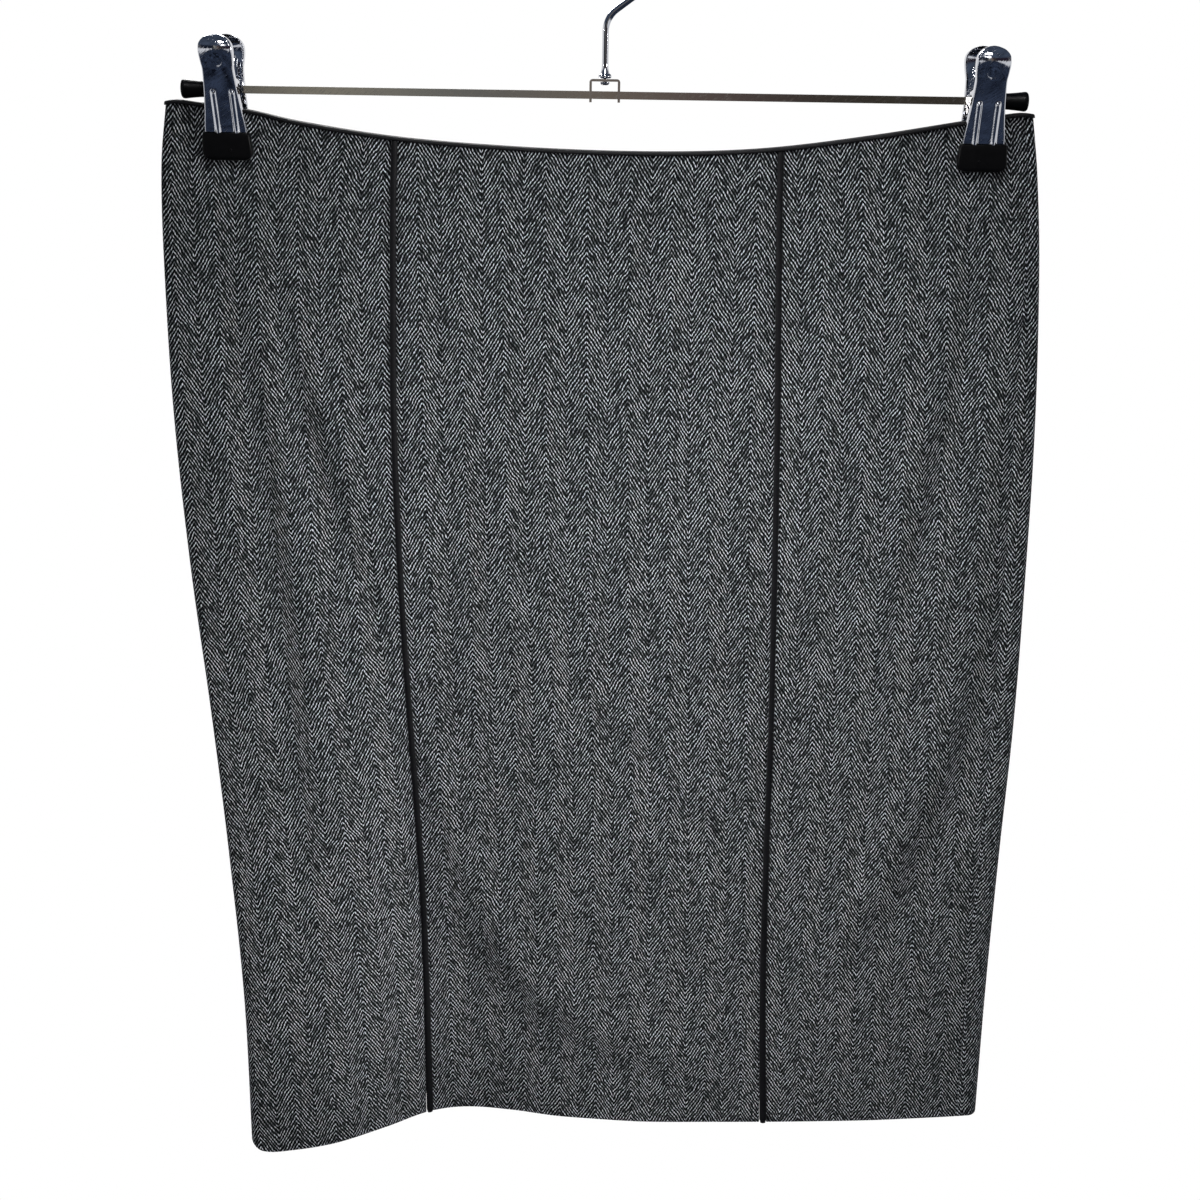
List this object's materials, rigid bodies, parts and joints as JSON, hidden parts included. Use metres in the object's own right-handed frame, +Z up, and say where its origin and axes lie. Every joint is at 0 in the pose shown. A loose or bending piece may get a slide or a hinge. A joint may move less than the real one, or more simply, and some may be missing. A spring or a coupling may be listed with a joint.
{
  "type": "pencil skirt on a clip hanger",
  "caption": "Knee-length panelled pencil skirt in grey herringbone jersey with black piping and a bound waist, hung flat by its waist from a chrome clip hanger.",
  "frame": {"origin": "the point inside the top of the hook that bears on the rail", "axes": "+Z up, the skirt's front faces -Y, +X to the right seen from the front"},
  "size_m": [0.4558, 0.0746, 0.6749],
  "materials": {
    "herringbone_jersey": "grey and near-black herringbone double jersey, matt",
    "black_trim": "black satin-faced bias tape, faint sheen",
    "chrome": "bright mirror chrome on pressed steel and wire",
    "rod_chrome": "duller chrome on the square rod",
    "black_rubber": "smooth black rubber boots and end caps"
  },
  "bodies": {
    "root": {"front_centre_panel": "herringbone_jersey", "front_left_panel": "herringbone_jersey", "front_right_panel": "herringbone_jersey", "back_panel": "herringbone_jersey", "piping_left": "black_trim", "piping_right": "black_trim", "waist_binding": "black_trim", "hook": "chrome", "hook_bracket": "chrome", "hanger_rod": "rod_chrome", "rod_cap_left": "black_rubber", "rod_cap_right": "black_rubber", "clip_left_front_plate": "chrome", "clip_left_rear_plate": "chrome", "clip_left_front_boot": "black_rubber", "clip_left_rear_boot": "black_rubber", "clip_left_spring": "chrome", "clip_right_front_plate": "chrome", "clip_right_rear_plate": "chrome", "clip_right_front_boot": "black_rubber", "clip_right_rear_boot": "black_rubber", "clip_right_spring": "chrome"}
  },
  "joints": []
}
